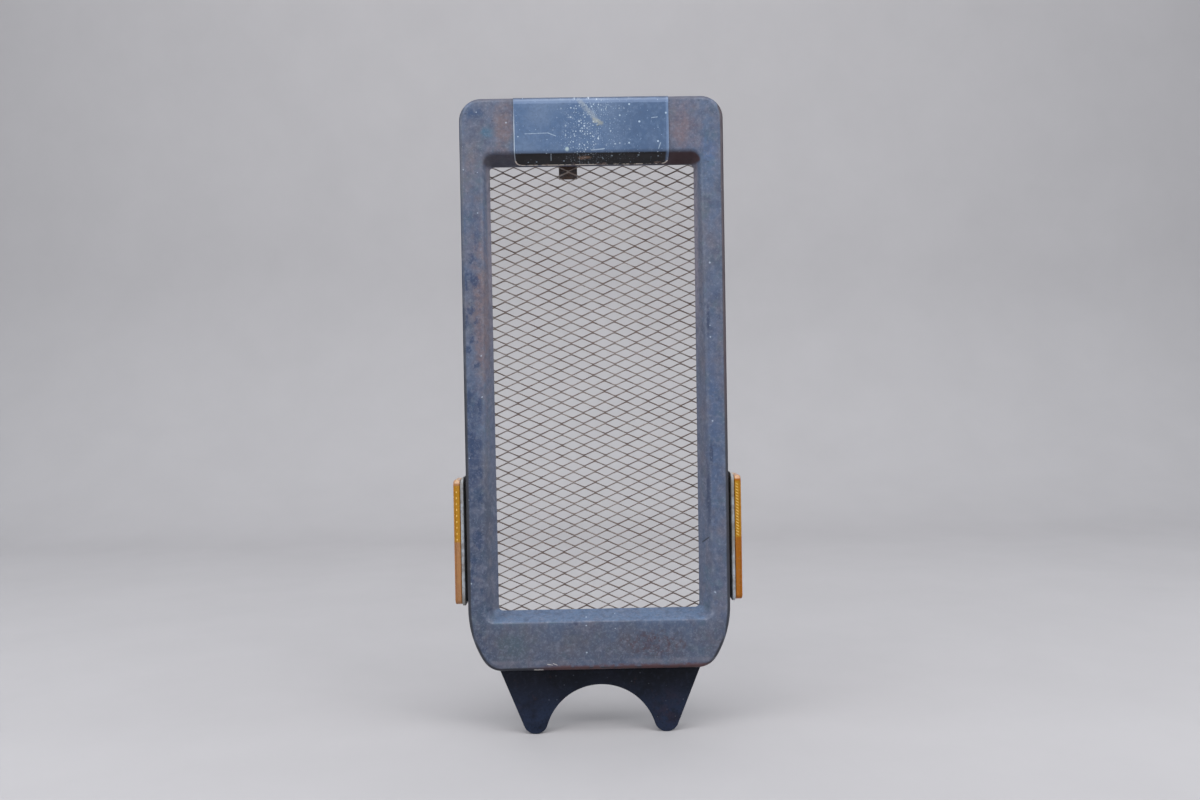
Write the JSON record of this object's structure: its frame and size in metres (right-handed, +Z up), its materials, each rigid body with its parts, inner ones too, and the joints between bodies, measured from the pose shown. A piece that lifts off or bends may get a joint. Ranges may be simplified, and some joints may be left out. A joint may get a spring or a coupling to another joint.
{
  "type": "motorcycle radiator grille",
  "caption": "Pressed-steel radiator grille with an expanded-metal screen, blank top plate, side reflectors and an eared apron with a round cut-out.",
  "frame": {"origin": "under the middle of the object, level with the tips of the two ears", "axes": "+Z up along the long side, -Y to the front, +X to the right seen from the front"},
  "size_m": [0.203, 0.0368, 0.4481],
  "materials": {
    "faded_paint": "weathered satin black paint gone blue-grey with a rust haze",
    "badge_paint": "smoother blue-grey satin paint with chips",
    "apron_paint": "worn satin dark blue-black paint",
    "rusty_mesh": "bare expanded steel with light rust",
    "rusty_steel": "old painted steel with surface rust",
    "zinc_steel": "dull zinc plating",
    "amber_lens": "transparent amber, moulded prisms",
    "grey_plastic": "matt moulded",
    "black_rubber": "matt moulded"
  },
  "bodies": {
    "root": {"grille_shell": "faded_paint", "mesh_screen": "rusty_mesh", "mesh_retainer_left": "rusty_steel", "mesh_retainer_right": "rusty_steel", "mesh_retainer_bottom": "rusty_steel", "mesh_retainer_top": "rusty_steel", "mesh_rivet_1": "zinc_steel", "mesh_rivet_2": "zinc_steel", "mesh_rivet_3": "zinc_steel", "mesh_rivet_4": "zinc_steel", "mesh_rivet_5": "zinc_steel", "mesh_rivet_6": "zinc_steel", "mesh_rivet_7": "zinc_steel", "mesh_rivet_8": "zinc_steel", "mesh_rivet_9": "zinc_steel", "mesh_rivet_10": "zinc_steel", "badge_plate": "badge_paint", "apron_plate": "apron_paint", "apron_rivet_left": "zinc_steel", "apron_rivet_centre": "zinc_steel", "apron_rivet_right": "zinc_steel", "reflector_gasket_left": "black_rubber", "reflector_base_left": "grey_plastic", "reflector_lens_left": "amber_lens", "reflector_stud_left": "zinc_steel", "reflector_washer_left": "zinc_steel", "reflector_nut_left": "zinc_steel", "reflector_gasket_right": "black_rubber", "reflector_base_right": "grey_plastic", "reflector_lens_right": "amber_lens", "reflector_stud_right": "zinc_steel", "reflector_washer_right": "zinc_steel", "reflector_nut_right": "zinc_steel", "mount_tab_upper_left": "rusty_steel", "mount_grommet_upper_left": "black_rubber", "mount_collar_upper_left": "zinc_steel", "mount_tab_upper_right": "rusty_steel", "mount_grommet_upper_right": "black_rubber", "mount_collar_upper_right": "zinc_steel", "mount_tab_lower_left": "rusty_steel", "mount_grommet_lower_left": "black_rubber", "mount_collar_lower_left": "zinc_steel", "mount_tab_lower_right": "rusty_steel", "mount_grommet_lower_right": "black_rubber", "mount_collar_lower_right": "zinc_steel", "top_hanger_bracket": "rusty_steel"}
  },
  "joints": []
}
